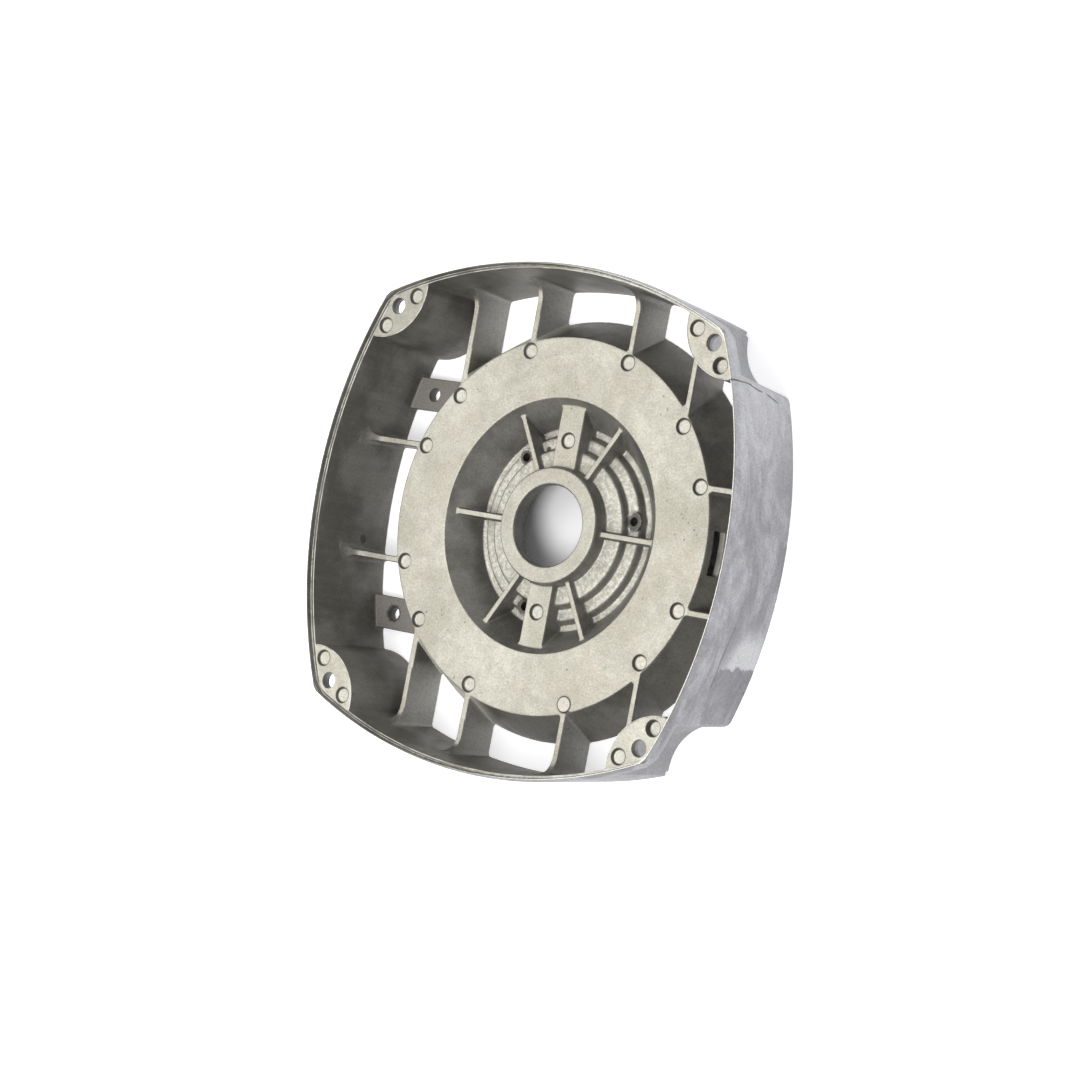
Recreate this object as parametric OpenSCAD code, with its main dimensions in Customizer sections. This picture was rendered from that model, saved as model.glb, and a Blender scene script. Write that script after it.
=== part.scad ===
// End shield of an electric motor: one die-cast aluminium piece.
// It lies on the rear edge of its skirt: Z is the bearing axis and +Z points to the stator.
// Sizes are in millimetres.

/* [Skirt] */
// Width of the rim across two opposite sides, at the top of their bulge
rim_w = 328; // [310:1:345]
// Radius of each bulged side, at the outer edge of the rim
side_r = 308; // [280:1:340]
// Depth of the casting from the rim to the rear edge
depth = 74; // [66:0.5:88]
// How far the outer face leans in from the rim to the rear edge
outer_draft = 4.2; // [2:0.1:4.8]
// Width of the rim with the stator seat, from the outer to the inner edge
rim_land = 4; // [3.6:0.1:5]
// Thickness of the lip that stands round the stator seat
lip_t = 2.1; // [1.8:0.1:2.6]
// Height of that lip above the stator seat
lip_h = 4; // [2:0.5:6]
// How far the inner face leans in from the rim to the rear edge
inner_draft = 3; // [2.6:0.1:3.6]
// Width of the bevel on the outer side of the lip
rim_bevel = 1.2; // [0.8:0.1:1.4]
// Height of that bevel
rim_bevel_h = 5; // [1:0.5:7]
// Width of the relief groove at the foot of the lip
groove_w = 0.6; // [0.4:0.1:1]
// Depth of the relief groove
groove_d = 0.6; // [0.4:0.1:1.2]
// How much the four outer corners are blunted
corner_trim = 1.9; // [0.8:0.1:2.2]
// Radius on the rear corners of each side, beside the hollow pillars
panel_round = 4.5; // [2:0.5:6]

/* [Corner pads] */
// Distance of the tie-rod holes in from the rim's corner, along the diagonal
tie_in = 12.08; // [10:0.02:14]
// Diameter of the tie-rod holes
tie_d = 10.5; // [8:0.5:12]
// Distance of the pad's own centre from the tie-rod hole, along X and along Y
pad_shift = 12.5; // [10:0.5:14]
// Radius of the pad's inner edge
pad_r = 34; // [31:0.5:36]
// Thickness of the pad
pad_t = 7.5; // [6:0.5:10]
// Wall of the hollow pillar behind the pad
pillar_wall = 4; // [3:0.5:5]
// How far the pillar widens from the pad to the rear edge
pillar_draft = 3.8; // [2:0.2:4.5]

/* [Drum] */
// Height of the ring face above the rear edge
ring_z = 33.5; // [30:0.5:38]
// Distance of the drum's rear edge in from the top of the rim's bulge
air_gap = 25.5; // [23:0.5:30]
// How much the drum's radius shrinks from the rear edge to the ring face
drum_flare = 15.5; // [12:0.5:19]
// Inner diameter of the ring face
ring_bore = 166; // [158:1:172]
// Wall of the drum, ring and web
wall = 4.5; // [3.5:0.5:6]
// Bevel on the edge of the ring face
ring_bevel = 1; // [0.5:0.1:1.6]

/* [Web and hub] */
// Diameter of the web at the foot of the dish
web_d = 133; // [128:1:138]
// Height of the lowest web step above the rear edge
web_z = 12; // [10:0.5:15]
// Height of each web step
step_h = 5.5; // [4:0.5:6]
// Outer diameter of the middle web step
step_outer_d = 123; // [118:1:126]
// Outer diameter of the top web step
step_inner_d = 104; // [98:1:110]
// Radius on the edge of each web step
step_round = 3.6; // [1:0.2:3.8]
// Outer diameter of the hub
hub_d = 76; // [72:1:80]
// Bevel on the edges of the hub face
hub_bevel = 1.2; // [0.6:0.1:1.8]
// Height of the hub's rear face above the rear edge
hub_rear_z = 16.5; // [15:0.5:18]
// Diameter of the opening in the hub's front lip
lip_d = 53; // [48:1:56]
// Diameter of the bearing seat behind the lip
seat_d = 62; // [58:1:64]
// Depth of the bearing seat
seat_depth = 10.5; // [8:0.5:12]

/* [Hub stiffeners] */
// Number of thin stiffeners round the hub
stiffener_count = 6; // [4:1:8]
// Thickness of the thin stiffeners
stiffener_t = 3.6; // [2:0.2:4.6]
// How far the stiffeners lie below the ring face
stiffener_drop = 5.5; // [4:0.5:7]
// Width of the two wide stiffeners
block_w = 18.5; // [15:0.5:21]

/* [Cover screw pads] */
// Pitch circle diameter of the bearing cover screws
cover_pcd = 113; // [108:1:116]
// Diameter of the cover screw holes
cover_hole_d = 5.5; // [4:0.5:6.5]
// Diameter of the round pad under each cover screw
cover_pad_d = 12; // [9.5:0.5:13]
// Angle of the first cover screw from the X axis
cover_angle = 12; // [10:1:16]

/* [Air ribs] */
// Thickness of the ribs between drum and skirt
rib_t = 4; // [3:0.5:5]
// Distance of the middle ribs from the axes
rib_mid = 39; // [34:1:44]
// Distance of the corner ribs from the tie-rod holes, along the side
rib_tie_gap = 35.5; // [33:0.5:39]
// Radius of the hollow where a rib's front edge climbs the skirt
rib_climb = 13; // [8:1:16]
// Radius of the root fillets where a rib meets the skirt
rib_root = 4.5; // [3:0.5:7]

/* [Lugs and wire slot] */
// Distance between the two lug holes
lug_pitch = 150; // [146:1:156]
// Distance of the lug holes in from the top of the rim's bulge
lug_edge = 32.5; // [30:0.5:35]
// Height of each lug, along Y
lug_w = 22; // [18:1:24]
// Thickness of the lugs
lug_t = 8; // [5:0.5:12]
// Diameter of the lug holes
lug_hole_d = 9; // [6:0.5:11]
// Length of the wire slot in the drum
slot_l = 28; // [20:1:34]
// Height of the wire slot, below the ring
slot_h = 7; // [5:0.5:10]

/* [Ejector pin marks] */
// Diameter of the ejector pin marks
mark_d = 10; // [8:0.5:10.5]
// Depth of the ejector pin marks
mark_depth = 2.2; // [0.5:0.1:2.6]
// Depth of the two deep marks on the right-hand pads
deep_mark_depth = 4.5; // [3:0.5:5]
// Height of the one mark that stands proud of the ring
proud_mark_h = 1; // [0.5:0.1:1.5]
// Distance of the ring's marks in from the edge of the ring face
mark_edge = 6.3; // [6:0.1:9]
// Distance of the pad marks from the tie-rod hole, along the pad
pad_mark_along = 15; // [13:0.5:16]
// Distance of the pad marks from the tie-rod hole, towards the bearing axis
pad_mark_in = 4.3; // [3:0.1:6]
// Distance of the wide stiffeners' marks from the bearing axis
block_mark_r = 56; // [50:1:62]

/* [Hidden] */
$fn = 96;
cast_grey = [0.70, 0.70, 0.66];

// Overshoot of cuts past the faces that they open
over = 2;
// Points on each rounded stretch of a profile
arc_steps = 6;

// Centre of each side's arc, on the far side of the axis
side_c = side_r - rim_w / 2;
// Radius of the skirt's inner face half way down, where the ribs meet it
side_inner_r = side_r - rim_land - inner_draft / 2;
// Angle that one side's sweep reaches past its middle, a little beyond the corner
side_sweep = 32;
// Distance of the outer corner from the axis, along the diagonal
corner_r = (sqrt(2 * side_r * side_r - side_c * side_c) - side_c) / sqrt(2);

// The pads are level with the stator seat
pad_z = depth - lip_h;
tie_xy = (corner_r - tie_in) / sqrt(2);
pad_xy = tie_xy + pad_shift;
// Radius of the hollow behind a pad, at the rear edge
hollow_rear_r = pad_r - pillar_wall + pillar_draft;
// Radius of the skirt's outer face at the rear edge
side_rear_r = side_r - outer_draft;
// Where a hollow ends a side, as an angle from the side's middle about the centre of its arc
pad_far = norm([pad_xy + side_c, pad_xy]);
panel_end = atan2(pad_xy, pad_xy + side_c)
    - acos((pad_far * pad_far + side_rear_r * side_rear_r - hollow_rear_r * hollow_rear_r)
        / (2 * pad_far * side_rear_r));

drum_rear_r = rim_w / 2 - air_gap;
ring_r = drum_rear_r - drum_flare;
mark_r = ring_r - mark_edge;
rib_corner = tie_xy - rib_tie_gap;
lug_x = rim_w / 2 - lug_edge;
drum_lean = (drum_rear_r - ring_r) / ring_z;
// The drum's wall measured along the radius
drum_wall = wall * sqrt(1 + drum_lean * drum_lean);
dish_lean = (ring_bore - web_d) / 2 / (ring_z - web_z);
dish_wall = wall * sqrt(1 + dish_lean * dish_lean);
top_step_z = web_z + 2 * step_h;
lip_z = hub_rear_z + seat_depth;
// The ribs stay just under the ring face
rib_z = ring_z - 0.5;
stiffener_z = ring_z - stiffener_drop;
cover_pad_z = web_z + step_h + 0.8;

// Points of an arc about a centre, from one angle to another
function arc(c, r, a0, a1) =
    [for (i = [0 : arc_steps]) let (a = a0 + (a1 - a0) * i / arc_steps) c + r * [cos(a), sin(a)]];

// Distance from the axis to a side's arc of radius r, at a distance x from the middle of the side
function side_at(x, r) = sqrt(r * r - x * x) - side_c;

// Section through one side of the skirt, measured from the centre of the side's arc
module side_section() {
    inner = side_r - rim_land;
    polygon([
        [side_rear_r, 0],
        [side_r, depth - rim_bevel_h],
        [side_r - rim_bevel, depth],
        [inner, depth],
        [inner - inner_draft, 0]
    ]);
}

// One bulged side, mitred along the diagonals at both ends
module side() {
    intersection() {
        translate([-side_c, 0, 0])
            rotate([0, 0, -side_sweep])
                rotate_extrude(angle = 2 * side_sweep, $fn = 240)
                    side_section();
        translate([0, 0, -over])
            linear_extrude(depth + 2 * over)
                polygon([[0, 0], [rim_w, -rim_w], [rim_w, rim_w]]);
    }
}

// The rounded-square space that ends half way through the skirt's wall, as does all that joins it
module inside_skirt() {
    rear_r = side_r - (rim_land + inner_draft + outer_draft) / 2;
    rim_r = side_r - rim_land / 2;
    intersection_for (a = [0 : 90 : 270])
        rotate([0, 0, a])
            translate([-side_c, 0, 0])
                cylinder(r1 = rear_r, r2 = rim_r, h = depth, $fn = 240);
}

// The space inside a line that runs round the rim at a distance in from its outer edge
module inside_rim(inset, h) {
    intersection() {
        intersection_for (a = [0 : 90 : 270])
            rotate([0, 0, a])
                translate([-side_c, 0, 0])
                    cylinder(r = side_r - inset, h = h, $fn = 240);
        cylinder(r = corner_r - corner_trim - inset, h = h, $fn = 240);
    }
}

// The seat that takes the stator, inside the lip and with a relief groove at its foot
module stator_seat() {
    translate([0, 0, pad_z]) inside_rim(lip_t, lip_h + over);
    translate([0, 0, pad_z - groove_d])
        difference() {
            inside_rim(lip_t, lip_h);
            translate([0, 0, -over]) inside_rim(lip_t + groove_w, lip_h + 2 * over);
        }
}

module skirt() {
    intersection() {
        union() {
            for (a = [0 : 90 : 270])
                rotate([0, 0, a]) side();
        }
        translate([0, 0, -over])
            cylinder(r = corner_r - corner_trim, h = depth + 2 * over, $fn = 240);
    }
}

// Puts a shape at each of the four corners, mirrored so that it faces the axis
module at_corners() {
    for (mx = [0, 1], my = [0, 1])
        mirror([mx, 0, 0]) mirror([0, my, 0]) children();
}

// A pad with the curved wall of its pillar, before the pillar is hollowed
module corner_pillar() {
    intersection() {
        translate([pad_xy, pad_xy, 0])
            cylinder(r1 = pad_r + pillar_draft, r2 = pad_r, h = pad_z);
        inside_skirt();
    }
}

// The hollow behind a pad, open to the outside and to the rear
module pillar_hollow() {
    hollow_r = pad_r - pillar_wall;
    hollow_h = pad_z - pad_t;
    lean = pillar_draft / pad_z;
    translate([pad_xy, pad_xy, -over])
        cylinder(r1 = hollow_rear_r + over * lean, r2 = hollow_r, h = hollow_h + over);
}

// Rounds the rear corners of the four sides, through the skirt's wall
module panel_corners() {
    inner = side_r - rim_land - inner_draft;
    for (a = [0 : 90 : 270], m = [0, 1])
        rotate([0, 0, a]) mirror([0, m, 0])
            translate([-side_c, 0, 0])
                rotate([0, 0, panel_end])
                    difference() {
                        translate([inner, -panel_round, -over])
                            cube([side_rear_r - inner + over, panel_round + over, panel_round + over]);
                        translate([inner - over, -panel_round, panel_round])
                            rotate([0, 90, 0])
                                cylinder(r = panel_round, h = side_rear_r - inner + 3 * over);
                    }
}

// Section of everything that turns about the bearing axis
module drum_section() {
    ring_back = ring_z - wall;
    hub_r = hub_d / 2;
    lip_r = lip_d / 2;
    foot_r = web_d / 2;
    mid_r = step_outer_d / 2;
    top_r = step_inner_d / 2;
    // Where the web's own rear face meets the slanted walls behind it
    dish_back_r = ring_bore / 2 + dish_wall - dish_lean * wall;
    polygon(concat(
        [[lip_r, ring_z - hub_bevel], [lip_r + hub_bevel, ring_z], [hub_r - hub_bevel, ring_z]],
        [[hub_r, ring_z - hub_bevel], [hub_r + 0.6, top_step_z]],
        arc([top_r - step_round, top_step_z - step_round], step_round, 90, 15),
        [[top_r + 0.4, top_step_z - step_h]],
        arc([mid_r - step_round, top_step_z - step_h - step_round], step_round, 90, 15),
        [[mid_r + 0.4, web_z], [foot_r, web_z], [ring_bore / 2, ring_z]],
        [[ring_r - ring_bevel, ring_z], [ring_r, ring_z - ring_bevel], [drum_rear_r, 0]],
        [[drum_rear_r - drum_wall, 0], [ring_r - drum_wall + drum_lean * wall, ring_back]],
        [[dish_back_r, ring_back], [foot_r + dish_wall - dish_lean * wall, web_z - wall]],
        [[mid_r - wall, web_z - wall], [mid_r - wall, web_z + step_h - wall]],
        [[top_r - wall, web_z + step_h - wall], [top_r - wall, top_step_z - wall]],
        [[hub_r + 0.6, top_step_z - wall], [hub_r, hub_rear_z]],
        [[seat_d / 2, hub_rear_z], [seat_d / 2, lip_z], [lip_r, lip_z]]
    ));
}

module drum() {
    rotate_extrude($fn = 240) drum_section();
}

// Keeps what lies between the middle of the drum's wall and the middle of the skirt's wall
module between_walls() {
    difference() {
        intersection() {
            children();
            inside_skirt();
        }
        translate([0, 0, -over])
            cylinder(
                r1 = drum_rear_r - drum_wall / 2 + over * drum_lean,
                r2 = ring_r - drum_wall / 2,
                h = ring_z + over,
                $fn = 240
            );
    }
}

// Centre of the root fillet on one side of a rib, tangent to the rib's face and to the skirt
function root_centre(face, side) =
    let (x = face + side * rib_root) [x, side_at(x, side_inner_r - rib_root)];

// Direction from the centre of the side's arc to a point, where a root fillet meets the skirt
function root_end(c) = atan2(c[1] + side_c, c[0]);

// Plan of one rib at a distance x from the middle of its side, flaring into the skirt
module rib_plan(x) {
    left = x - rib_t / 2;
    right = x + rib_t / 2;
    left_c = root_centre(left, -1);
    right_c = root_centre(right, 1);
    far = rim_w / 2 + over;
    polygon(concat(
        [[left, 0], [right, 0]],
        arc(right_c, rib_root, 180, root_end(right_c)),
        [[right + rib_root, far], [left - rib_root, far]],
        arc(left_c, rib_root, root_end(left_c), 0)
    ));
}

// Side view of one rib: its front edge is level and climbs the skirt in a hollow
module rib_side(x) {
    wall_y = side_at(x, side_inner_r);
    polygon(concat(
        [[0, -over], [rim_w, -over], [rim_w, rib_z + rib_climb]],
        arc([wall_y - rib_climb, rib_z + rib_climb], rib_climb, 0, -90),
        [[0, rib_z]]
    ));
}

module air_rib(x) {
    reach = rib_t / 2 + 2 * rib_root;
    intersection() {
        linear_extrude(depth) rib_plan(x);
        translate([x - reach, 0, 0])
            rotate([90, 0, 90])
                linear_extrude(2 * reach) rib_side(x);
    }
}

// All twelve ribs: four to the top and bottom sides, two to the left and right sides
module air_ribs() {
    between_walls() {
        for (a = [0, 180], x = [-rib_corner, -rib_mid, rib_mid, rib_corner])
            rotate([0, 0, a]) air_rib(x);
        for (a = [90, 270], x = [-rib_mid, rib_mid])
            rotate([0, 0, a]) air_rib(x);
    }
}

module lugs() {
    between_walls()
        for (s = [-1, 1])
            translate([-rim_w / 2, s * lug_pitch / 2 - lug_w / 2, 0])
                cube([rim_w / 2, lug_w, lug_t]);
}

// Keeps what lies between the hub and the dish, above the web
module inside_dish() {
    intersection() {
        children();
        translate([0, 0, web_z - wall / 2])
            difference() {
                cylinder(
                    r1 = web_d / 2 + (dish_wall - dish_lean * wall) / 2,
                    r2 = ring_bore / 2 + dish_wall / 2,
                    h = ring_z - web_z + wall / 2,
                    $fn = 240
                );
                translate([0, 0, -over])
                    cylinder(d = hub_d - 3, h = ring_z + over);
            }
    }
}

module stiffeners() {
    inside_dish() {
        for (i = [0 : stiffener_count - 1])
            rotate([0, 0, i * 360 / stiffener_count])
                translate([0, -stiffener_t / 2, 0])
                    cube([ring_r, stiffener_t, stiffener_z]);
        for (a = [90, 270])
            rotate([0, 0, a])
                translate([0, -block_w / 2, 0])
                    cube([ring_r, block_w, stiffener_z]);
    }
}

// Puts a shape at each of the three cover screws
module at_cover_screws() {
    for (a = [0 : 120 : 240])
        rotate([0, 0, cover_angle + a])
            translate([cover_pcd / 2, 0, 0])
                children();
}

module cover_pads() {
    at_cover_screws()
        translate([0, 0, web_z - wall / 2])
            cylinder(d = cover_pad_d, h = cover_pad_z - web_z + wall / 2);
}

// One ejector pin mark sunk into a face at height z
module pin_mark(z, d) {
    translate([0, 0, z - d]) cylinder(d = mark_d, h = d + over);
}

// The ring's marks lie in line with the ribs; the one on the lower right stands proud
module ring_marks() {
    far = sqrt(mark_r * mark_r - rib_mid * rib_mid);
    for (sx = [-1, 1], sy = [-1, 1]) {
        if (sx < 0 || sy > 0)
            translate([sx * rib_mid, sy * far, 0]) pin_mark(ring_z, mark_depth);
        translate([sx * far, sy * rib_mid, 0]) pin_mark(ring_z, mark_depth);
        translate([sx * rib_corner, sy * sqrt(mark_r * mark_r - rib_corner * rib_corner), 0])
            pin_mark(ring_z, mark_depth);
    }
}

module proud_mark() {
    far = sqrt(mark_r * mark_r - rib_mid * rib_mid);
    translate([rib_mid, -far, ring_z - wall / 2])
        cylinder(d = mark_d, h = wall / 2 + proud_mark_h);
}

// Two marks on each pad, one on either side of the tie-rod hole
module pad_marks() {
    at_corners()
        translate([tie_xy, tie_xy, 0])
            rotate([0, 0, 45])
                for (s = [-1, 1])
                    translate([-pad_mark_in, s * pad_mark_along, 0])
                        pin_mark(pad_z, mark_depth);
    for (my = [0, 1])
        mirror([0, my, 0])
            translate([tie_xy, tie_xy, 0])
                rotate([0, 0, 45])
                    translate([-pad_mark_in, -pad_mark_along, 0])
                        pin_mark(pad_z, deep_mark_depth);
}

module block_marks() {
    for (s = [-1, 1])
        translate([0, s * block_mark_r, 0]) pin_mark(stiffener_z, mark_depth);
}

module tie_holes() {
    at_corners()
        translate([tie_xy, tie_xy, -over])
            cylinder(d = tie_d, h = depth + 2 * over);
}

module lug_holes() {
    for (s = [-1, 1])
        translate([-lug_x, s * lug_pitch / 2, -over])
            cylinder(d = lug_hole_d, h = lug_t + 2 * over);
}

module cover_holes() {
    at_cover_screws()
        translate([0, 0, -over])
            cylinder(d = cover_hole_d, h = ring_z);
}

// The slot that lets wires out through the right-hand side of the drum, just under the ring
module wire_slot() {
    translate([ring_r - 3 * wall, -slot_l / 2, ring_z - wall - slot_h])
        cube([5 * wall, slot_l, slot_h]);
}

module end_shield() {
    color(cast_grey)
        difference() {
            union() {
                skirt();
                at_corners() corner_pillar();
                drum();
                air_ribs();
                lugs();
                stiffeners();
                cover_pads();
                proud_mark();
            }
            at_corners() pillar_hollow();
            panel_corners();
            stator_seat();
            tie_holes();
            pad_marks();
            ring_marks();
            block_marks();
            lug_holes();
            cover_holes();
            wire_slot();
        }
}

end_shield();
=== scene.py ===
import math

import bmesh
import bpy
import numpy as np
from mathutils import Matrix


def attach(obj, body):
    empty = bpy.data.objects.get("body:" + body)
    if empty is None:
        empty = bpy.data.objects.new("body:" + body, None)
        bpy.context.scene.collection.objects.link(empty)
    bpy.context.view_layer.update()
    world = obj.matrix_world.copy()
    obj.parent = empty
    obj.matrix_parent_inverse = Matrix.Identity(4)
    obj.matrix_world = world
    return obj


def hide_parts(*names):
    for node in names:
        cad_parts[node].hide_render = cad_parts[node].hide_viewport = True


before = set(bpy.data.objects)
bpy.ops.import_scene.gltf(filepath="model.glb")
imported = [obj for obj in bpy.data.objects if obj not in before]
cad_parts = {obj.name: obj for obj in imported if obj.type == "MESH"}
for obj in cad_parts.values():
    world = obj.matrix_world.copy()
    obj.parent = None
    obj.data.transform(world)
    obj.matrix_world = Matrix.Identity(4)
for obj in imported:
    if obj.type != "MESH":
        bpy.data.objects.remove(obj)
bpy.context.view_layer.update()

import openvdb
from mathutils import Matrix, Vector

mm = 0.001
shield = {  # sizes of the casting that the looks follow, in mm
    "rimWidth": 328, "sideRadius": 308, "depth": 74, "cornerTrim": 1.9,
    "rimLand": 4, "lipThick": 2.1, "groove": 0.65, "innerLean": 3, "outerLean": 4.2,
    "tiePlace": 125, "padShift": 12.5, "padRadius": 34, "padTop": 70, "padThick": 7.5,
    "pillarWall": 4, "pillarLean": 3.8,
    "ringTop": 33.5, "stiffenerTop": 28, "airGap": 25.5, "drumFlare": 15.5, "ribMid": 39, "ribTieGap": 35.5,
    "markWidth": 10, "markEdge": 6.3, "padMarkAlong": 15, "padMarkIn": 4.3, "blockMark": 56,
}
sideCentre = shield["sideRadius"] - shield["rimWidth"] / 2
tiePlace = shield["tiePlace"]
padCentre = tiePlace + shield["padShift"]


# small helpers for node trees
def addNode(tree, kind, values=None, **settings):
    node = tree.nodes.new(kind)
    for name, value in settings.items():
        setattr(node, name, value)
    for socket, value in (values or {}).items():
        if isinstance(value, bpy.types.NodeSocket):
            tree.links.new(value, node.inputs[socket])
        else:
            node.inputs[socket].default_value = value
    return node


def calc(tree, operation, a, b=0.0, c=0.0):
    return addNode(tree, "ShaderNodeMath", {0: a, 1: b, 2: c}, operation=operation).outputs[0]


def times(tree, product, *others):
    for other in others:
        product = calc(tree, "MULTIPLY", product, other)
    return product


def leastOf(tree, values):
    least = values[0]
    for value in values[1:]:
        least = calc(tree, "MINIMUM", least, value)
    return least


def vectorCalc(tree, operation, a, b=(0, 0, 0), output="Value"):
    return addNode(tree, "ShaderNodeVectorMath", {0: a, 1: b}, operation=operation).outputs[output]


def axisRadius(tree, axes):  # distance from the bearing axis
    across = addNode(tree, "ShaderNodeCombineXYZ", {"X": axes["X"], "Y": axes["Y"]})
    return vectorCalc(tree, "LENGTH", across.outputs[0])


def ramp(tree, value, low, high):  # 0 at low and 1 at high, smooth between, either way up
    node = addNode(tree, "ShaderNodeMapRange", {"Value": value, "From Min": low, "From Max": high},
                   interpolation_type="SMOOTHSTEP")
    return node.outputs["Result"]


def band(tree, value, low, high, soft):  # 1 between low and high
    return times(tree, ramp(tree, value, low - soft, low + soft), ramp(tree, value, high + soft, high - soft))


def blendColour(tree, mask, under, over, mode="MIX"):
    return addNode(tree, "ShaderNodeMix", {0: mask, 6: under, 7: over},
                   data_type="RGBA", blend_type=mode).outputs[2]


def noise(tree, place, scale, detail=3.0, rough=0.55, warp=0.0):
    node = addNode(tree, "ShaderNodeTexNoise",
                   {"Vector": place, "Scale": scale, "Detail": detail, "Roughness": rough, "Distortion": warp})
    return node.outputs["Fac"]


def noiseMask(tree, place, pattern):  # a pattern is scale, detail, roughness, warp, low and high
    return ramp(tree, noise(tree, place, *pattern[:4]), *pattern[4:])


def newGroup(name, inputs, outputs):
    group = bpy.data.node_groups.new(name, "ShaderNodeTree")
    for label, kind, value in inputs:
        socket = group.interface.new_socket(label, in_out="INPUT", socket_type=kind)
        if value is not None:
            socket.default_value = value
    for label in outputs:
        group.interface.new_socket(label, in_out="OUTPUT", socket_type="NodeSocketFloat")
    return group, group.nodes.new("NodeGroupInput").outputs, group.nodes.new("NodeGroupOutput").inputs


grainEffect = {
    "grainScale": 700.0, "grainDetail": 4.0, "grainRough": 0.65, "pitScale": 260.0, "pitSize": (0.08, 0.24),
    "pitDepth": 0.7, "pitPatches": (45.0, 2.0, 0.55, 0.0, 0.52, 0.68),
}


def castGrainGroup():  # fine sandy grain and small pits of a die-cast skin
    group, given, result = newGroup(
        "castGrain",
        [("Place", "NodeSocketVector", None), ("Grain Scale", "NodeSocketFloat", grainEffect["grainScale"]),
         ("Pit Scale", "NodeSocketFloat", grainEffect["pitScale"])],
        ["Grain", "Pits", "Height"])
    place = given["Place"]
    fine = noise(group, place, given["Grain Scale"], grainEffect["grainDetail"], grainEffect["grainRough"])
    cells = addNode(group, "ShaderNodeTexVoronoi", {"Vector": place, "Scale": given["Pit Scale"]})
    pits = calc(group, "SUBTRACT", 1.0, ramp(group, cells.outputs["Distance"], *grainEffect["pitSize"]))
    pits = times(group, pits, noiseMask(group, place, grainEffect["pitPatches"]))
    height = calc(group, "SUBTRACT", fine, times(group, pits, grainEffect["pitDepth"]))
    for label, value in (("Grain", fine), ("Pits", pits), ("Height", height)):
        group.links.new(value, result[label])
    return group


stainEffect = {
    "cloudScale": 22.0, "cloud": (6.0, 0.62, 0.6, 0.36, 0.66),  # the cloud's pattern without its scale
    "warmShift": (0.31, 0.17, 0.05), "warm": (30.0, 4.0, 0.6, 0.8, 0.5, 0.72),
    "drawn": (1.0, 1.0, 0.12), "streak": (160.0, 4.0, 0.6, 0.3, 0.4, 0.68),
}


def castStainGroup():  # broad clouds, warm blotches and drawn streaks left by the die
    group, given, result = newGroup(
        "castStains",
        [("Place", "NodeSocketVector", None), ("Cloud Scale", "NodeSocketFloat", stainEffect["cloudScale"])],
        ["Cloud", "Warm", "Streak"])
    place = given["Place"]
    shifted = addNode(group, "ShaderNodeMapping", {"Vector": place, "Location": stainEffect["warmShift"]})
    drawn = addNode(group, "ShaderNodeMapping", {"Vector": place, "Scale": stainEffect["drawn"]})
    cloud = noiseMask(group, place, (given["Cloud Scale"], *stainEffect["cloud"]))
    warm = noiseMask(group, shifted.outputs[0], stainEffect["warm"])
    streak = noiseMask(group, drawn.outputs[0], stainEffect["streak"])
    for label, value in (("Cloud", cloud), ("Warm", warm), ("Streak", streak)):
        group.links.new(value, result[label])
    return group


def newMaterial(name):
    material = bpy.data.materials.new(name)
    material.use_nodes = True
    tree = material.node_tree
    tree.nodes.clear()
    output = tree.nodes.new("ShaderNodeOutputMaterial")
    shader = tree.nodes.new("ShaderNodeBsdfPrincipled")
    tree.links.new(shader.outputs[0], output.inputs["Surface"])
    return material, tree, shader


def placeAxes(tree):  # the object's own place, its axes and the axes of the normal
    coords = tree.nodes.new("ShaderNodeTexCoord")
    axes, facing = (addNode(tree, "ShaderNodeSeparateXYZ", {0: coords.outputs[name]}).outputs
                    for name in ("Object", "Normal"))
    return coords.outputs["Object"], axes, facing


skinEdge = {"aboveSeat": 0.2, "lipShift": 0.9, "lipBelow": 0.4, "lipIn": 0.3, "soft": 0.3}  # in mm


def outerSkinMask(tree, axes):  # 1 on the outside of the skirt and in the pillars' hollows, 0 on the rest
    x, y = (calc(tree, "ABSOLUTE", axes[name]) for name in "XY")
    z = axes["Z"]
    sides = []
    for forward, aside in ((x, y), (y, x)):
        reach = calc(tree, "ADD", forward, sideCentre * mm)
        sides.append(calc(tree, "SQRT", calc(tree, "ADD", times(tree, reach, reach), times(tree, aside, aside))))
    depthIn = calc(tree, "SUBTRACT", calc(tree, "MAXIMUM", sides[0], sides[1]), shield["sideRadius"] * mm)
    lean = (shield["outerLean"] + shield["innerLean"]) / 2 / shield["depth"]
    middle = calc(tree, "MULTIPLY_ADD", z, lean, -(shield["rimLand"] / 2 + lean * shield["depth"]) * mm)
    top = calc(tree, "GREATER_THAN", z, (shield["padTop"] + skinEdge["aboveSeat"]) * mm)
    middle = calc(tree, "MULTIPLY_ADD", top, skinEdge["lipShift"] * mm, middle)
    lip = times(tree, calc(tree, "GREATER_THAN", z, (shield["padTop"] - skinEdge["lipBelow"]) * mm),
                calc(tree, "GREATER_THAN", depthIn, -(shield["rimLand"] - skinEdge["lipIn"]) * mm))
    skin = ramp(tree, calc(tree, "SUBTRACT", depthIn, middle), -skinEdge["soft"] * mm, skinEdge["soft"] * mm)
    fromPillar = []
    for part in (x, y):
        gap = calc(tree, "SUBTRACT", part, padCentre * mm)
        fromPillar.append(times(tree, gap, gap))
    radius = calc(tree, "SQRT", calc(tree, "ADD", fromPillar[0], fromPillar[1]))
    flare = times(tree, z, shield["pillarLean"] / shield["padTop"])
    wall = shield["padRadius"] + shield["pillarLean"] - shield["pillarWall"] / 2
    hollow = calc(tree, "LESS_THAN", calc(tree, "ADD", radius, flare), wall * mm)
    below = calc(tree, "LESS_THAN", z, (shield["padTop"] - shield["padThick"] / 2) * mm)
    pocket = times(tree, hollow, below)
    return calc(tree, "MAXIMUM", skin, pocket), depthIn, lip, pocket


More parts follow.
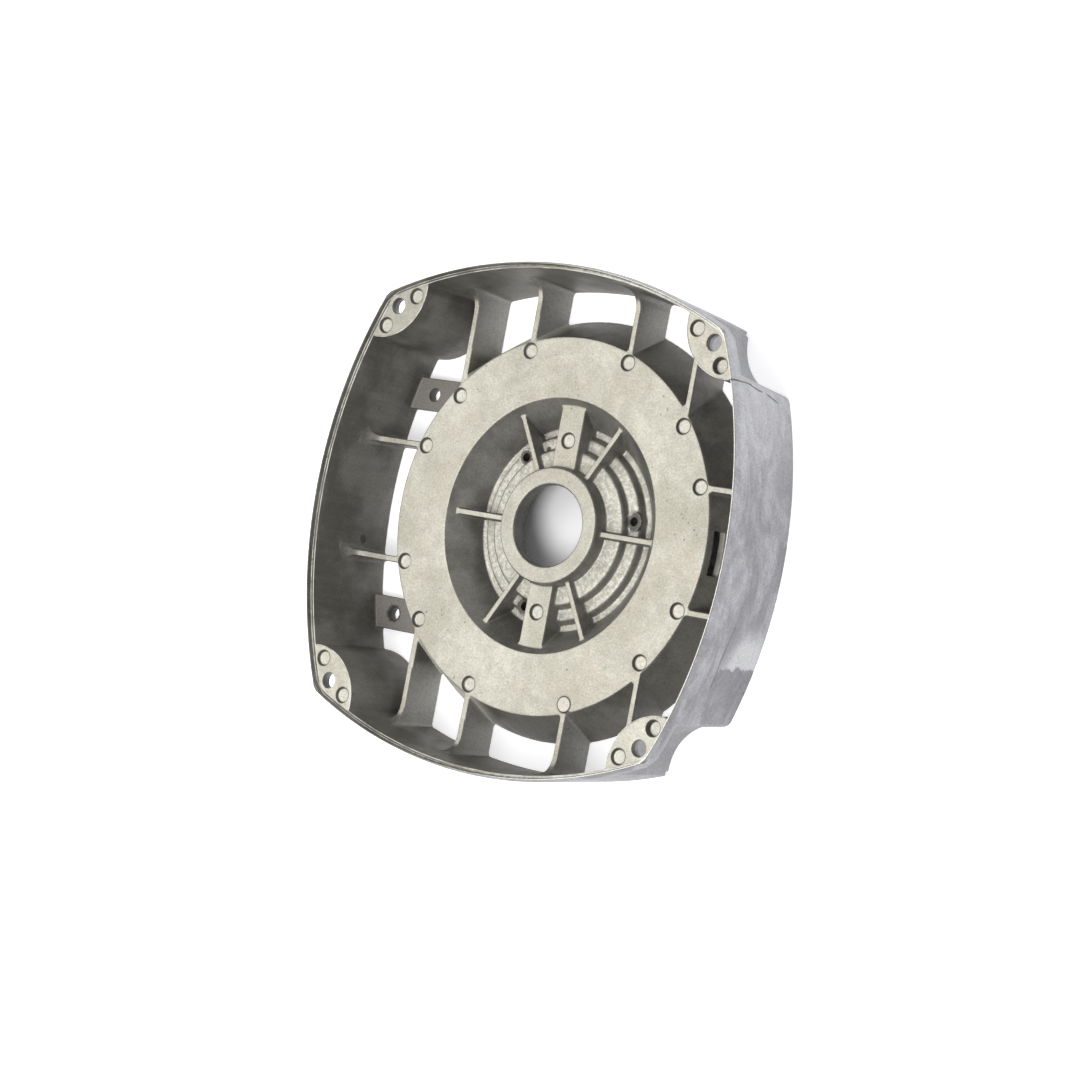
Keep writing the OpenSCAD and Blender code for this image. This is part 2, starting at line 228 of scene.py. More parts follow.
def markPoints():  # centres of the ejector pin marks on the ring, the pads and the wide stiffeners
    ringEdge = shield["rimWidth"] / 2 - shield["airGap"] - shield["drumFlare"]
    radius = ringEdge - shield["markEdge"]
    ribMid, ribTie = shield["ribMid"], tiePlace - shield["ribTieGap"]
    midReach, tieReach = (math.sqrt(radius ** 2 - aside ** 2) for aside in (ribMid, ribTie))
    inward = tiePlace - shield["padMarkIn"] / math.sqrt(2)
    slide = shield["padMarkAlong"] / math.sqrt(2)
    spots = []
    for sx in (-1, 1):
        for sy in (-1, 1):
            for x, y in ((ribMid, midReach), (ribTie, tieReach), (midReach, ribMid)):
                spots.append((sx * x, sy * y, shield["ringTop"]))
            for along in (-slide, slide):
                spots.append((sx * (inward - along), sy * (inward + along), shield["padTop"]))
        spots.append((0, sx * shield["blockMark"], shield["stiffenerTop"]))
    return np.array(spots) * mm


def nearestMark(tree, axes, sink=0.25):  # distance to the nearest pin mark, folded over both axes
    spots = sorted({(round(abs(x), 5), round(abs(y), 5), round(z, 5)) for x, y, z in markPoints()})
    folded = addNode(tree, "ShaderNodeCombineXYZ", {
        "X": calc(tree, "ABSOLUTE", axes["X"]), "Y": calc(tree, "ABSOLUTE", axes["Y"]),
        "Z": times(tree, axes["Z"], sink)}).outputs[0]
    return leastOf(tree, [vectorCalc(tree, "DISTANCE", folded, (x, y, z * sink)) for x, y, z in spots])


def lineGap(tree, place, path):  # distance to a line through points given in mm
    gaps = []
    for a, b in zip(path, path[1:]):
        a, b = Vector(a) * mm, Vector(b) * mm
        run = b - a
        off = vectorCalc(tree, "SUBTRACT", place, a, "Vector")
        share = addNode(tree, "ShaderNodeMath", {0: vectorCalc(tree, "DOT_PRODUCT", off, run), 1: run.length_squared},
                        operation="DIVIDE", use_clamp=True).outputs[0]
        foot = addNode(tree, "ShaderNodeVectorMath", {0: run, "Scale": share}, operation="SCALE").outputs[0]
        gaps.append(vectorCalc(tree, "DISTANCE", off, foot))
    return leastOf(tree, gaps)


flaws = {  # this casting's own faults, in mm
    "cracks": [  # at the end of the right-hand panel
        [(144.6, 103.6, 74), (145.4, 104.1, 70), (145.6, 104.1, 65), (145.0, 104.6, 58), (144.7, 104.2, 52),
         (144.7, 103.2, 47), (144.7, 102.4, 42), (144.6, 102.0, 37)],
        [(144.3, 101.6, 31), (144.3, 101.0, 28), (144.4, 99.9, 23), (144.5, 98.4, 17)]],
    "scratches": [
        [(159.3, -42.8, 42.0), (158.2, -50.5, 43.4), (156.2, -62.1, 45.3), (151.7, -80.6, 44.5)],
        [(146.4, 96.5, 8.0), (147.2, 93.0, 5.0), (147.6, 90.0, 6.5)]],
    "crackWidth": 0.95, "scratchWidth": 0.6, "lineFray": 300.0, "lineEdge": (1.4, 0.9),
    "carveWidth": 0.9, "carveDepth": 0.5, "carveFrom": (130, 90), "carveInto": (0.94, 0.33, 0),
    "spots": [  # dark spots: place and size; round the cover screws and the lug's hole they are painted shade
        (56.0, 11.7, 18.3, 6.0), (-37.8, 42.0, 18.3, 5.0), (-17.5, -53.7, 18.3, 5.8), (-21.5, 49.5, 17.5, 1.8),
        (-131.5, -75, 8, 6.2), (-156.6, -29.5, 24.0, 3.2), (148.9, -81.5, 2.0, 0.9)],
    "spotFray": 500.0, "spotRagged": 0.6, "spotEdge": (1.4, 1.1),
    "darkened": [  # pads and faces painted darker, the lugs deep in the skirt as painted shade: place, reach, strength and tone
        (-122, 124, 70, 42, 0.6, "frontDarker"), (0, 0, 33.5, 40, 0.3, "frontDarker"),
        (-130, 75, 8, 24.5, 0.9, "lug"), (-130, -75, 8, 24.5, 0.95, "lug"),
        (128, 4, 22, 10.5, 0.75, "lug"), (128, -8, 22, 10.5, 0.75, "lug"),
        (-140, 39, 40, 17, 0.6, "frontDarker"), (-140, -39, 40, 17, 0.6, "frontDarker")],
    "darkenedEdge": (1, 0.85),
}

castLook = {
    # linear colours; front, wall and skin are one cast colour in painted light and shade
    "front": (0.640, 0.622, 0.535, 1), "frontDark": (0.400, 0.380, 0.305, 1),
    "frontWarm": (0.580, 0.500, 0.410, 1), "frontDarker": (0.330, 0.325, 0.265, 1),
    "wall": (0.088, 0.084, 0.072, 1), "wallPale": (0.196, 0.188, 0.166, 1), "ribFace": (0.370, 0.365, 0.345, 1),
    "skin": (0.205, 0.205, 0.218, 1), "skinPale": (0.325, 0.325, 0.343, 1), "skinDark": (0.140, 0.140, 0.146, 1),
    "skinPatch": (0.450, 0.450, 0.458, 1), "pocket": (0.290, 0.290, 0.296, 1), "lug": (0.225, 0.207, 0.188, 1),
    "disc": (0.760, 0.745, 0.660, 1), "rubbedAndHighlight": (0.880, 0.870, 0.810, 1), "pit": (0.050, 0.046, 0.038, 1),
    # how strongly each tone is laid on
    "cloudMix": 0.55, "warmMix": 0.45, "mottleMix": 0.42, "webMix": 0.3, "lipHighlightMix": 0.8,
    "streakMix": 0.2, "wallCloudMix": 0.7, "ribFaceMix": 0.75, "flankMix": 0.8,
    "rubsMix": 0.3, "paleEndMix": 0.4, "pocketMix": 0.6, "patchMix": 0.95, "underMix": 0.6,
    "discMix": 0.5, "seamMix": 0.85, "spotMix": 0.9, "pitMix": 0.6,
    # noise patterns: scale, detail, roughness, warp, and the levels that the mask rises between
    "mottle": (130.0, 4.0, 0.65, 0.0, 0.35, 0.7), "webGrit": (300.0, 4.0, 0.7, 0.0, 0.42, 0.6),
    "wallCloud": (24.0, 3.0, 0.55, 0.0, 0.38, 0.62), "blotch": (42.0, 5.0, 0.62, 1.2, 0.38, 0.66),
    "rubs": (210.0, 4.0, 0.7, 0.0, 0.42, 0.62), "smear": (1.0, 0.45, 1.0),
    # zones that a mask rises between, in metres, or as a share of the normal where the name ends in Turn
    "frontTurn": (0.74, 0.95), "lipShadeSide": (0.02, -0.06), "lipHighlightSide": (0.0, 0.07),
    "ribTurn": (0.3, 0.8), "ribAway": (0.1, 0.108), "ribRight": (-0.1, -0.095), "ribHigh": (0.062, 0.008),
    "flankTurn": (0.25, 0.35), "flankLeft": (-0.02, -0.04), "flankAway": (0.080, 0.090),
    "flankBand": (0.1225, 0.1385, 0.0005), "webRadius": (0.074, 0.071), "webHigh": (0.0272, 0.0262),
    "paleEnd": (0.02, 0.11), "discEdge": (0.0048, 0.0044), "seamBand": (0.0046, 0.0055, 0.0003),
    "seamTurn": (-0.4, -0.1), "seatBand": (0.0688, 0.0702, 0.0002), "grooveSoft": 0.0001,
    # the rubbed patch low on the right-hand panel
    "patchFrom": 0.12, "patchLow": (-0.069, -0.067), "patchHigh": (-0.036, -0.056), "patchIn": (0.012, -0.008),
    "patchSlant": 0.55, "patchFray": 120.0, "patchRagged": 0.012, "underFade": (-0.108, -0.080),
    # grain and gloss
    "grainScale": 750.0, "pitScale": 240.0, "cloudScale": 20.0, "grainBump": 0.35, "bumpDepth": 0.0004,
    "grainLevels": (0.3, 0.7), "grainShade": (0.76, 1.16), "rough": (0.46, 0.62), "webGloss": 0.14, "metallic": 0.2,
}


def frontTones(tree, place, axes, stains, web, lip):  # pale faces that look up; their pale colour is painted light
    look = castLook
    colour = blendColour(tree, times(tree, stains["Cloud"], look["cloudMix"]), look["front"], look["frontDark"])
    colour = blendColour(tree, times(tree, stains["Warm"], look["warmMix"]), colour, look["frontWarm"])
    mottle = noiseMask(tree, place, look["mottle"])
    colour = blendColour(tree, times(tree, mottle, look["mottleMix"]), colour, look["frontDark"])
    grit = blendColour(tree, noiseMask(tree, place, look["webGrit"]), look["lug"], look["rubbedAndHighlight"])
    colour = blendColour(tree, times(tree, web, look["webMix"]), colour, grit)
    # painted darker patches; at the lugs deep in the skirt they are painted shade
    for x, y, z, reach, strength, tone in flaws["darkened"]:
        away = vectorCalc(tree, "DISTANCE", place, (x * mm, y * mm, z * mm))
        darkened = ramp(tree, away, *(reach * share * mm for share in flaws["darkenedEdge"]))
        colour = blendColour(tree, times(tree, darkened, strength), colour, look[tone])
    lipHighlight = times(tree, lip, ramp(tree, axes["X"], *look["lipHighlightSide"]))  # painted highlight: the lip is paler on the right
    return blendColour(tree, times(tree, lipHighlight, look["lipHighlightMix"]), colour, look["rubbedAndHighlight"])


def wallTones(tree, place, axes, facing, stains, radius):  # dark walls inside the skirt; their dark colour is painted shade
    look = castLook
    cloud = times(tree, noiseMask(tree, place, look["wallCloud"]), look["wallCloudMix"])
    tone = calc(tree, "MULTIPLY_ADD", stains["Streak"], look["streakMix"], cloud)
    colour = blendColour(tree, tone, look["wall"], look["wallPale"])
    away = calc(tree, "ABSOLUTE", axes["Y"])
    ribFace = times(tree, ramp(tree, facing["X"], *look["ribTurn"]), ramp(tree, away, *look["ribAway"]),
                    ramp(tree, axes["X"], *look["ribRight"]), ramp(tree, axes["Z"], *look["ribHigh"]))
    colour = blendColour(tree, times(tree, ribFace, look["ribFaceMix"]), colour, look["ribFace"])  # lit rib sides
    flank = times(tree, ramp(tree, facing["Z"], *look["flankTurn"]), ramp(tree, axes["X"], *look["flankLeft"]),
                  ramp(tree, away, *look["flankAway"]), band(tree, radius, *look["flankBand"]))
    return blendColour(tree, times(tree, flank, look["flankMix"]), colour, look["front"])  # painted light: the drum's cone by the ring takes the pale front colour on the left


def skinTones(tree, place, axes, pocket):  # grey outside of the skirt; the grey between the pale faces and the dark walls is painted light and shade
    look = castLook
    smear = addNode(tree, "ShaderNodeMapping", {"Vector": place, "Scale": look["smear"]}).outputs[0]
    colour = blendColour(tree, noiseMask(tree, smear, look["blotch"]), look["skin"], look["skinPale"])
    rubs = noiseMask(tree, smear, look["rubs"])
    colour = blendColour(tree, times(tree, rubs, look["rubsMix"]), colour, look["skinDark"])
    paleEnd = ramp(tree, axes["Y"], *look["paleEnd"])
    colour = blendColour(tree, times(tree, paleEnd, look["paleEndMix"]), colour, look["skinPatch"])
    # painted light: the hollows under the pads are paler than the skin, against the shade the pads cast there
    colour = blendColour(tree, times(tree, pocket, look["pocketMix"]), colour, look["pocket"])
    ragged = calc(tree, "MULTIPLY_ADD", noise(tree, place, look["patchFray"]), look["patchRagged"],
                  -look["patchRagged"] / 2)
    frayed = calc(tree, "ADD", axes["Y"], ragged)  # the rubbed patch's lower edge is frayed
    slanted = calc(tree, "MULTIPLY_ADD", axes["Y"], look["patchSlant"], axes["Z"])
    onPanel = times(tree, ramp(tree, slanted, *look["patchIn"]),
                    calc(tree, "GREATER_THAN", axes["X"], look["patchFrom"]))
    patch = times(tree, ramp(tree, frayed, *look["patchLow"]), ramp(tree, axes["Y"], *look["patchHigh"]), onPanel)
    colour = blendColour(tree, times(tree, patch, look["patchMix"]), colour, look["skinPatch"])
    under = times(tree, ramp(tree, frayed, *look["underFade"]), ramp(tree, frayed, *reversed(look["patchLow"])),
                  onPanel)
    return blendColour(tree, times(tree, under, look["underMix"]), colour, look["skinDark"])


def darkLines(tree, place, axes, facing, fromMark, depthIn):  # pin gaps, painted shade in the groove at the lip, cracks, scratches
    look = castLook
    lines = times(tree, band(tree, fromMark, *look["seamBand"]), ramp(tree, facing["Z"], *look["seamTurn"]))
    # painted shade: a dark line where the groove at the lip's foot lies, too narrow for the mesh to hold
    lipThick, groove = shield["lipThick"] * mm, shield["groove"] * mm
    atLip = band(tree, depthIn, -(lipThick + groove), -lipThick, look["grooveSoft"])
    lines = calc(tree, "MAXIMUM", lines, times(tree, atLip, band(tree, axes["Z"], *look["seatBand"])))
    fray = noise(tree, place, flaws["lineFray"])
    for paths, width in (("cracks", "crackWidth"), ("scratches", "scratchWidth")):
        thin = flaws[width] * mm
        for path in flaws[paths]:
            frayed = calc(tree, "MULTIPLY_ADD", fray, thin, lineGap(tree, place, path))
            edge = ramp(tree, frayed, *(thin * share for share in flaws["lineEdge"]))
            lines = calc(tree, "MAXIMUM", lines, edge)
    return lines


def darkSpots(tree, place, colour):  # dark spots at the cover screws, the lug and the panels; round the holes they are painted shade
    fray = noise(tree, place, flaws["spotFray"])
    for x, y, z, size in flaws["spots"]:
        away = vectorCalc(tree, "DISTANCE", place, (x * mm, y * mm, z * mm))
        ragged = calc(tree, "MULTIPLY_ADD", fray, size * flaws["spotRagged"] * mm, away)
        spot = ramp(tree, ragged, *(size * share * mm for share in flaws["spotEdge"]))
        colour = blendColour(tree, times(tree, spot, castLook["spotMix"]), colour, castLook["pit"])
    return colour


def castSkinMaterial(grainGroup, stainGroup):
    look = castLook
    material, tree, shader = newMaterial("castAluminium")
    place, axes, facing = placeAxes(tree)
    grain = addNode(tree, "ShaderNodeGroup", node_tree=grainGroup, values={
        "Place": place, "Grain Scale": look["grainScale"], "Pit Scale": look["pitScale"]}).outputs
    stains = addNode(tree, "ShaderNodeGroup", node_tree=stainGroup, values={
        "Place": place, "Cloud Scale": look["cloudScale"]}).outputs
    outer, depthIn, lip, pocket = outerSkinMask(tree, axes)
    lipShade = times(tree, lip, ramp(tree, axes["X"], *look["lipShadeSide"]))  # painted shade: the lip takes the dark wall colour on the left
    bright = calc(tree, "SUBTRACT", 1.0, lipShade)
    front = times(tree, ramp(tree, facing["Z"], *look["frontTurn"]), bright)
    outer = times(tree, outer, bright)
    radius = axisRadius(tree, axes)
    web = times(tree, ramp(tree, radius, *look["webRadius"]), ramp(tree, axes["Z"], *look["webHigh"]))
    # painted light and shade: pale on faces that look up, dark on the walls inside the skirt, grey outside
    colour = blendColour(tree, outer, wallTones(tree, place, axes, facing, stains, radius),
                         skinTones(tree, place, axes, pocket))
    colour = blendColour(tree, front, colour, frontTones(tree, place, axes, stains, web, lip))
    fromMark = nearestMark(tree, axes)
    disc = times(tree, ramp(tree, fromMark, *look["discEdge"]), front, look["discMix"])
    colour = blendColour(tree, disc, colour, look["disc"])
    lines = darkLines(tree, place, axes, facing, fromMark, depthIn)
    colour = blendColour(tree, times(tree, lines, look["seamMix"]), colour, look["pit"])
    colour = darkSpots(tree, place, colour)
    (low, high), (dark, pale) = look["grainLevels"], look["grainShade"]
    shade = addNode(tree, "ShaderNodeMapRange", {
        "Value": grain["Grain"], "From Min": low, "From Max": high, "To Min": dark, "To Max": pale})
    colour = blendColour(tree, 1.0, colour, shade.outputs[0], "MULTIPLY")
    colour = blendColour(tree, times(tree, grain["Pits"], look["pitMix"]), colour, look["pit"])
    tree.links.new(colour, shader.inputs["Base Color"])
    smooth, coarse = look["rough"]
    rough = addNode(tree, "ShaderNodeMapRange", {"Value": stains["Cloud"], "To Min": smooth, "To Max": coarse})
    rough = calc(tree, "MULTIPLY_ADD", web, -look["webGloss"], rough.outputs[0])  # the web's steps are glossier
    tree.links.new(rough, shader.inputs["Roughness"])
    shader.inputs["Metallic"].default_value = look["metallic"]
    bump = addNode(tree, "ShaderNodeBump", {
        "Height": grain["Height"], "Strength": look["grainBump"], "Distance": look["bumpDepth"]})
    tree.links.new(bump.outputs[0], shader.inputs["Normal"])
    return material


# the flash's pale colour is partly painted highlight, bright lines along the rim's and the pads' edges
rimLook = {
    "rubbedAndHighlight": (0.88, 0.87, 0.81, 1), "darkened": (0.46, 0.45, 0.40, 1), "worn": (90.0, 3.0, 0.55, 0.0, 0.42, 0.6),
    "grainScale": 380.0, "grainMix": 0.3, "grainBump": 0.2, "bumpDepth": 0.0003, "metallic": 0.5, "rough": 0.42,
}


def flashHighlightMaterial(grainGroup):
    look = rimLook
    material, tree, shader = newMaterial("flashWithHighlight")
    place = placeAxes(tree)[0]
    grain = addNode(tree, "ShaderNodeGroup", node_tree=grainGroup, values={
        "Place": place, "Grain Scale": look["grainScale"]}).outputs
    colour = blendColour(tree, noiseMask(tree, place, look["worn"]), look["rubbedAndHighlight"], look["darkened"])
    colour = blendColour(tree, times(tree, grain["Grain"], look["grainMix"]), colour, look["darkened"])
    tree.links.new(colour, shader.inputs["Base Color"])
    shader.inputs["Roughness"].default_value = look["rough"]
    shader.inputs["Metallic"].default_value = look["metallic"]
    bump = addNode(tree, "ShaderNodeBump", {
        "Height": grain["Height"], "Strength": look["grainBump"], "Distance": look["bumpDepth"]})
    tree.links.new(bump.outputs[0], shader.inputs["Normal"])
    return material


grainGroup = castGrainGroup()
castSkin = castSkinMaterial(grainGroup, castStainGroup())
flashWithHighlight = flashHighlightMaterial(grainGroup)
print("materials made")

# the casting, with the rounded edges and filleted corners that a die leaves; lengths in metres
castBody = {
    "voxel": 0.00055, "quickVoxel": 0.0014, "filletRadius": 0.0007, "mergeGap": 0.000002,
    "softening": 2, "triangles": 190000, "normalWeight": 60,
}


def mergedTriangles(source):
    work = bmesh.new()
    work.from_mesh(source.data)
    bmesh.ops.remove_doubles(work, verts=work.verts, dist=castBody["mergeGap"])
    bmesh.ops.triangulate(work, faces=work.faces)
    points = np.array([v.co for v in work.verts], np.float32)
    work.verts.index_update()
    corners = np.array([[v.index for v in f.verts] for f in work.faces], np.int32)
    work.free()
    return points, corners


def offsetSurface(points, faces, voxel, reach, offset):  # the surface moved out by offset, as quads
    kind = {"triangles": faces} if faces.shape[1] == 3 else {"quads": faces}
    grid = openvdb.FloatGrid.createLevelSetFromPolygons(
        points, transform=openvdb.createLinearTransform(voxelSize=voxel), halfWidth=reach / voxel + 2, **kind)
    return grid.convertToQuads(offset)


def carveCracks(points):
    points = np.array(points, np.float32)
    fromX, fromY = (edge * mm for edge in flaws["carveFrom"])
    near = np.where((points[:, 0] > fromX) & (points[:, 1] > fromY))[0]
    gap = np.full(len(near), 1.0, np.float32)
    for path in flaws["cracks"]:
        line = np.array(path, np.float32) * mm
        for a, b in zip(line, line[1:]):
            along = np.clip((points[near] - a) @ (b - a) / ((b - a) @ (b - a)), 0, 1)
            gap = np.minimum(gap, np.linalg.norm(points[near] - a - along[:, None] * (b - a), axis=1))
    push = flaws["carveDepth"] * mm * np.clip(1 - gap / (flaws["carveWidth"] * mm), 0, 1)
    points[near] -= push[:, None] * np.array(flaws["carveInto"], np.float32)
    return points


def roundedCast(source):  # inner corners filled by moving the surface out and back again
    voxel = castBody["voxel"]
    fillet = castBody["filletRadius"]
    points, faces = mergedTriangles(source)
    points, faces = offsetSurface(points, faces, voxel, fillet, fillet)
    points, faces = offsetSurface(points, faces, voxel, fillet, -fillet)
    return carveCracks(points), faces[:, ::-1]


def meshOfQuads(name, points, faces):
    mesh = bpy.data.meshes.new(name)
    mesh.vertices.add(len(points))
    mesh.vertices.foreach_set("co", np.ascontiguousarray(points, np.float32).ravel())
    mesh.loops.add(faces.size)
    mesh.loops.foreach_set("vertex_index", np.ascontiguousarray(faces, np.int32).ravel())
    mesh.polygons.add(len(faces))
    mesh.polygons.foreach_set("loop_start", np.arange(0, faces.size, 4, dtype=np.int32))
    mesh.update(calc_edges=True)
    return mesh


def plainMesh(item):  # the evaluated object as a mesh with no modifier
    made = bpy.data.meshes.new_from_object(item.evaluated_get(bpy.context.evaluated_depsgraph_get()))
    old = item.data
    item.modifiers.clear()
    item.data = made
    bpy.data.meshes.remove(old)
    made.name = item.name


def addObject(name, data):
    item = bpy.data.objects.new(name, data)
    bpy.context.scene.collection.objects.link(item)
    return item


def shadeSmooth(mesh):
    mesh.polygons.foreach_set("use_smooth", np.ones(len(mesh.polygons), bool))


def makeCasting():
    points, faces = roundedCast(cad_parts["end_shield"])
    item = addObject("casting", meshOfQuads("casting", points, faces))
    shadeSmooth(item.data)
    soft = item.modifiers.new("soft", "SMOOTH")
    soft.iterations = castBody["softening"]
    thin = item.modifiers.new("thin", "DECIMATE")
    thin.ratio = min(1.0, castBody["triangles"] / (2 * len(faces)))
    item.modifiers.new("even", "WEIGHTED_NORMAL").weight = castBody["normalWeight"]
    plainMesh(item)
    item.data.materials.clear()
    item.data.materials.append(castSkin)
    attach(item, "root")
    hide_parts("end_shield")
    print("casting made:", len(item.data.polygons), "faces")


makeCasting()

# thin cast flash along the rim and the pads' edges, in mm; each line round the rim is its inset and height
rimFlash = {
    "lines": ((2.4, 70.6), (3.85, 69.95)), "radius": 0.28, "steps": 900, "padSteps": 70, "padTurn": 1.4,
    "waver": 0.18, "waverScale": 260.0, "waverDetail": 2.0, "waverMiddle": (0.5, 0.5, 0.9), "sides": 6, "seed": 7,
}
# a ring of flash round each ejector pin mark, in mm; sizes are shares and tilts are radians
markRings = {
    "gap": 0.35, "bead": 0.2, "lift": 0.05, "steps": 40, "sides": 6, "seed": 7,
    "sizes": ((0.97, 0.97, 0.3), (1.03, 1.03, 0.9)), "tilts": ((-0.03, -0.03, 0.0), (0.03, 0.03, 6.0)),
}


def rimPoints(inset, top):  # the rim's line at a distance in from its outer edge, in polar steps round the axis
    turn = np.linspace(0, 2 * math.pi, rimFlash["steps"], endpoint=False)
    aside = (turn + math.pi / 4) % (math.pi / 2) - math.pi / 4
    reach = shield["sideRadius"] - inset
    radius = np.sqrt(reach ** 2 - (sideCentre * np.sin(aside)) ** 2) - sideCentre * np.cos(aside)
    corner = (math.sqrt(2 * shield["sideRadius"] ** 2 - sideCentre ** 2) - sideCentre) / math.sqrt(2)
    radius = np.minimum(radius, corner - shield["cornerTrim"] - inset)
    height = np.full_like(turn, top)
    return np.stack([radius * np.cos(turn), radius * np.sin(turn), height], 1) * mm


def padEdge(sx, sy):  # the curved inner edge of one corner pad
    turn = np.linspace(-rimFlash["padTurn"], rimFlash["padTurn"], rimFlash["padSteps"]) + math.pi / 4
    x, y = (padCentre - shield["padRadius"] * part for part in (np.cos(turn), np.sin(turn)))
    reach = np.maximum(np.hypot(x + sideCentre, y), np.hypot(y + sideCentre, x)) - shield["sideRadius"]
    inside = reach < -shield["rimLand"]
    return np.stack([sx * x[inside], sy * y[inside], np.full(inside.sum(), shield["padTop"])], 1) * mm


def newTree(name, inputs):
    tree = bpy.data.node_groups.new(name, "GeometryNodeTree")
    tree.interface.new_socket("Geometry", in_out="INPUT", socket_type="NodeSocketGeometry")
    ids = {n: tree.interface.new_socket(n, in_out="INPUT", socket_type=k).identifier for n, k in inputs}
    tree.interface.new_socket("Geometry", in_out="OUTPUT", socket_type="NodeSocketGeometry")
    return tree, ids, tree.nodes.new("NodeGroupInput").outputs, tree.nodes.new("NodeGroupOutput").inputs


def closeTree(tree, given, result, geometry):
    real = addNode(tree, "GeometryNodeRealizeInstances", {"Geometry": geometry})
    painted = addNode(tree, "GeometryNodeSetMaterial",
                      {"Geometry": real.outputs[0], "Material": given["Material"]})
    tree.links.new(painted.outputs[0], result["Geometry"])


def circle(tree, steps, radius):
    return addNode(tree, "GeometryNodeCurvePrimitiveCircle", {"Resolution": steps, "Radius": radius}).outputs[0]


def rimLineTree():
    tree, ids, given, result = newTree("rimFlashLines", [
        ("Radius", "NodeSocketFloat"), ("Waver", "NodeSocketFloat"), ("Seed", "NodeSocketFloat"),
        ("Material", "NodeSocketMaterial")])
    curve = addNode(tree, "GeometryNodeMeshToCurve", {0: given["Geometry"]})
    wobble = addNode(tree, "ShaderNodeTexNoise", noise_dimensions="4D", values={
        "W": given["Seed"], "Scale": rimFlash["waverScale"], "Detail": rimFlash["waverDetail"]})
    centred = vectorCalc(tree, "SUBTRACT", wobble.outputs["Color"], rimFlash["waverMiddle"], "Vector")
    shift = addNode(tree, "ShaderNodeVectorMath", {0: centred, "Scale": given["Waver"]}, operation="SCALE")
    moved = addNode(tree, "GeometryNodeSetPosition", {0: curve.outputs[0], "Offset": shift.outputs[0]})
    bead = circle(tree, rimFlash["sides"], given["Radius"])
    body = addNode(tree, "GeometryNodeCurveToMesh", {0: moved.outputs[0], 1: bead, "Fill Caps": True})
    closeTree(tree, given, result, body.outputs[0])
    return tree, ids


def randomVector(tree, seed, limits):
    node = addNode(tree, "FunctionNodeRandomValue", {"Seed": seed}, data_type="FLOAT_VECTOR")
    node.inputs[0].default_value, node.inputs[1].default_value = limits
    return node.outputs[0]


def markRingTree():
    tree, ids, given, result = newTree("pinMarkRings", [
        ("Ring Radius", "NodeSocketFloat"), ("Bead Radius", "NodeSocketFloat"), ("Seed", "NodeSocketInt"),
        ("Material", "NodeSocketMaterial")])
    ring = circle(tree, markRings["steps"], given["Ring Radius"])
    bead = circle(tree, markRings["sides"], given["Bead Radius"])
    body = addNode(tree, "GeometryNodeCurveToMesh", {0: ring, 1: bead})
    size = randomVector(tree, given["Seed"], markRings["sizes"])
    tilt = randomVector(tree, given["Seed"], markRings["tilts"])
    rings = addNode(tree, "GeometryNodeInstanceOnPoints", {
        "Points": given["Geometry"], "Instance": body.outputs[0], "Rotation": tilt, "Scale": size})
    closeTree(tree, given, result, rings.outputs[0])
    return tree, ids


def grown(name, points, edges, treeAndIds, values):
    mesh = bpy.data.meshes.new(name)
    mesh.from_pydata([tuple(p) for p in points], edges, [])
    item = addObject(name, mesh)
    tree, ids = treeAndIds
    build = item.modifiers.new("build", "NODES")
    build.node_group = tree
    for label, value in values.items():
        build[ids[label]] = value
    plainMesh(item)
    shadeSmooth(item.data)
    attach(item, "root")


def makeRimFlash():
    strands = [(rimPoints(*line), True) for line in rimFlash["lines"]]
    strands += [(padEdge(sx, sy), False) for sx in (-1, 1) for sy in (-1, 1)]
    edges, start = [], 0
    for line, closed in strands:
        count = len(line)
        edges += [(start + i, start + (i + 1) % count) for i in range(count if closed else count - 1)]
        start += count
    grown("rimFlash", np.concatenate([line for line, closed in strands]), edges, rimLineTree(), {
        "Radius": rimFlash["radius"] * mm, "Waver": rimFlash["waver"] * mm, "Seed": float(rimFlash["seed"]),
        "Material": flashWithHighlight})
    print("flash made:", len(strands), "lines")


def makeMarkRings():
    rings = markPoints()
    rings[:, 2] += (markRings["lift"] - markRings["bead"] / 2) * mm
    grown("pinMarkRings", rings, [], markRingTree(), {
        "Ring Radius": (shield["markWidth"] / 2 + markRings["gap"]) * mm, "Bead Radius": markRings["bead"] * mm,
        "Seed": markRings["seed"], "Material": castSkin})
    print("pin marks ringed:", len(rings))


makeRimFlash()
makeMarkRings()

